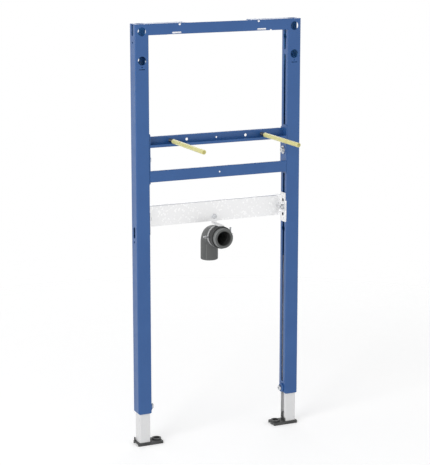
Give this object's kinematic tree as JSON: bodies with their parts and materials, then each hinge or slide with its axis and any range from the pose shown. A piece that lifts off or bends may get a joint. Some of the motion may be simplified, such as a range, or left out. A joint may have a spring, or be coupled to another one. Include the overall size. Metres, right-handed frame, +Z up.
{
  "type": "basin installation frame",
  "caption": "Freestanding steel frame for a wall-hung basin: slotted uprights on telescopic feet, crossbars with sleeved studs, and a waste bend on an adjustable bar.",
  "frame": {"origin": "on the floor, midway between the two anchor holes of the foot plates", "axes": "+X along the frame to the right seen from the front, +Y to the wall behind, +Z up"},
  "size_m": [0.504, 0.2975, 1.183],
  "materials": {
    "blue_coat": "satin powder coat",
    "galvanised": "galvanised with spangle",
    "bright_zinc": "bright zinc plate",
    "sleeve_plastic": "smooth",
    "pipe_plastic": "moulded",
    "seal_rubber": "moulded",
    "foot_plastic": "fine grain"
  },
  "bodies": {
    "frame": {"left_upright": "blue_coat", "right_upright": "blue_coat", "left_top_plate": "blue_coat", "right_top_plate": "blue_coat", "left_ladder_plate": "blue_coat", "right_ladder_plate": "blue_coat", "left_ladder_screw": "bright_zinc", "right_ladder_screw": "bright_zinc", "left_ladder_slot_nut": "bright_zinc", "right_ladder_slot_nut": "bright_zinc", "left_threaded_rod": "bright_zinc", "right_threaded_rod": "bright_zinc", "left_rod_sleeve": "sleeve_plastic", "right_rod_sleeve": "sleeve_plastic", "left_rod_nut": "bright_zinc", "right_rod_nut": "bright_zinc", "left_waste_bar_screw": "bright_zinc", "right_waste_bar_screw": "bright_zinc", "left_waste_bar_slot_nut": "bright_zinc", "right_waste_bar_slot_nut": "bright_zinc", "left_foot_lock": "blue_coat", "right_foot_lock": "blue_coat", "left_foot_lock_screw": "bright_zinc", "right_foot_lock_screw": "bright_zinc", "top_rail": "blue_coat", "upper_crossbar": "blue_coat", "lower_crossbar": "blue_coat", "waste_bar": "galvanised", "waste_bracket": "galvanised", "waste_bracket_bolt": "bright_zinc", "waste_clip": "galvanised", "waste_clip_screws": "bright_zinc", "waste_bend": "pipe_plastic", "waste_seal": "seal_rubber"},
    "left_foot": {"left_foot_leg": "galvanised", "left_foot_plate": "foot_plastic"},
    "right_foot": {"right_foot_leg": "galvanised", "right_foot_plate": "foot_plastic"}
  },
  "joints": [
    {"name": "left_foot_slide", "type": "slide", "parent": "frame", "child": "left_foot", "axis": [0, 0, -1], "range_m": [-0.07, 0.115]},
    {"name": "right_foot_slide", "type": "slide", "parent": "frame", "child": "right_foot", "axis": [0, 0, -1], "range_m": [-0.07, 0.115]}
  ]
}
